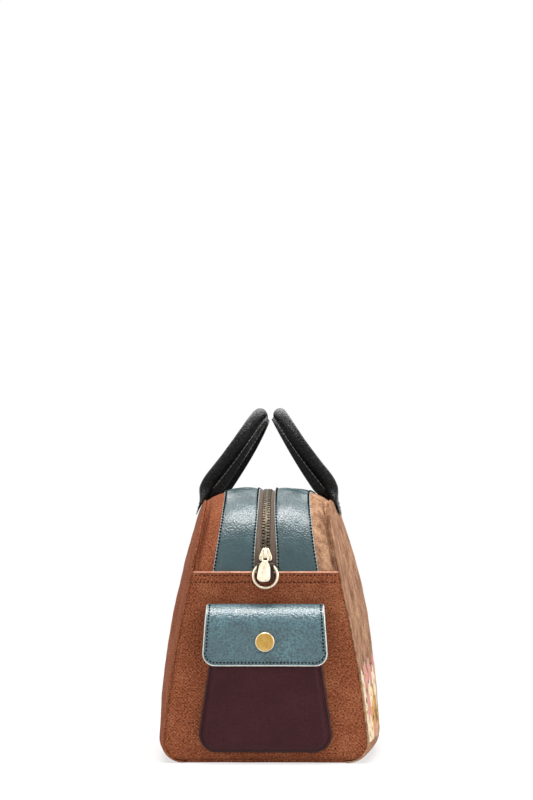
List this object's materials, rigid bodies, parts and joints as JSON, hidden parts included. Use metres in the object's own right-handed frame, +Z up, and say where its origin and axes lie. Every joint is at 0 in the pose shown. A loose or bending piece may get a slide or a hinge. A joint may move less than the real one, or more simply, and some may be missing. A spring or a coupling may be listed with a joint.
{
  "type": "zip-top tote bag",
  "caption": "Soft zip-top tote bag with bowed sides, rolled leather handles, strap rings and a flap pocket at one end, closed by a press stud.",
  "frame": {"origin": "middle of the base panel's underside, on the floor", "axes": "+X towards the front panel, +Y along the bag away from the pocket end, +Z up"},
  "size_m": [0.1932, 0.323, 0.302],
  "materials": {
    "rust_canvas": "matt twill",
    "tan_canvas": "matt mottled print",
    "teal_leather": "satin pebbled",
    "plum_leather": "satin pebbled",
    "black_leather": "satin pebbled",
    "dark_leather": "satin",
    "zip_tape": "matt woven",
    "antique_brass": "dark antique",
    "pale_gold": "polished pale gold plating",
    "yellow_brass": "satin",
    "base_board": "matt"
  },
  "bodies": {
    "bag": {"front_panel": "tan_canvas", "back_panel": "rust_canvas", "base_panel": "rust_canvas", "base_board": "base_board", "near_gusset": "rust_canvas", "far_gusset": "rust_canvas", "front_facing": "teal_leather", "back_facing": "teal_leather", "front_band": "tan_canvas", "back_band": "rust_canvas", "front_zip_tape": "zip_tape", "back_zip_tape": "zip_tape", "front_zip_teeth": "antique_brass", "back_zip_teeth": "antique_brass", "zip_stops": "antique_brass", "near_ring_tab": "dark_leather", "far_ring_tab": "dark_leather", "pocket_front": "plum_leather", "pocket_piping": "plum_leather", "snap_stud": "yellow_brass", "front_near_tab": "black_leather", "back_near_tab": "black_leather", "front_far_tab": "black_leather", "back_far_tab": "black_leather"},
    "front_handle": {"front_handle": "black_leather"},
    "back_handle": {"back_handle": "black_leather"},
    "zip_slider": {"zip_slider": "pale_gold"},
    "zip_puller": {"zip_puller": "pale_gold"},
    "near_ring": {"near_ring": "pale_gold"},
    "far_ring": {"far_ring": "pale_gold"},
    "pocket_flap": {"pocket_flap": "teal_leather", "snap_cap": "yellow_brass", "snap_socket": "yellow_brass"}
  },
  "joints": [
    {"name": "front_handle_swing", "type": "hinge", "parent": "bag", "child": "front_handle", "pos_m": [0.05681, 0, 0.23], "axis": [0, 1, 0], "range_deg": [0, 120]},
    {"name": "back_handle_swing", "type": "hinge", "parent": "bag", "child": "back_handle", "pos_m": [-0.05681, 0, 0.23], "axis": [0, -1, 0], "range_deg": [0, 120]},
    {"name": "zip_slide", "type": "hinge", "parent": "bag", "child": "zip_slider", "pos_m": [0, -0.0776, 0.159], "axis": [-1, 0, 0], "range_deg": [0, 78]},
    {"name": "puller_swing", "type": "hinge", "parent": "zip_slider", "child": "zip_puller", "pos_m": [0, -0.15361, 0.17154], "axis": [-1, 0, 0], "range_deg": [0, 110]},
    {"name": "near_ring_swing", "type": "hinge", "parent": "bag", "child": "near_ring", "pos_m": [0, -0.1522, 0.1637], "axis": [-1, 0, 0], "range_deg": [0, 150]},
    {"name": "far_ring_swing", "type": "hinge", "parent": "bag", "child": "far_ring", "pos_m": [0, 0.1522, 0.1637], "axis": [1, 0, 0], "range_deg": [0, 150]},
    {"name": "flap_swing", "type": "hinge", "parent": "bag", "child": "pocket_flap", "pos_m": [0, -0.1514, 0.131], "axis": [-1, 0, 0], "range_deg": [0, 95]}
  ]
}
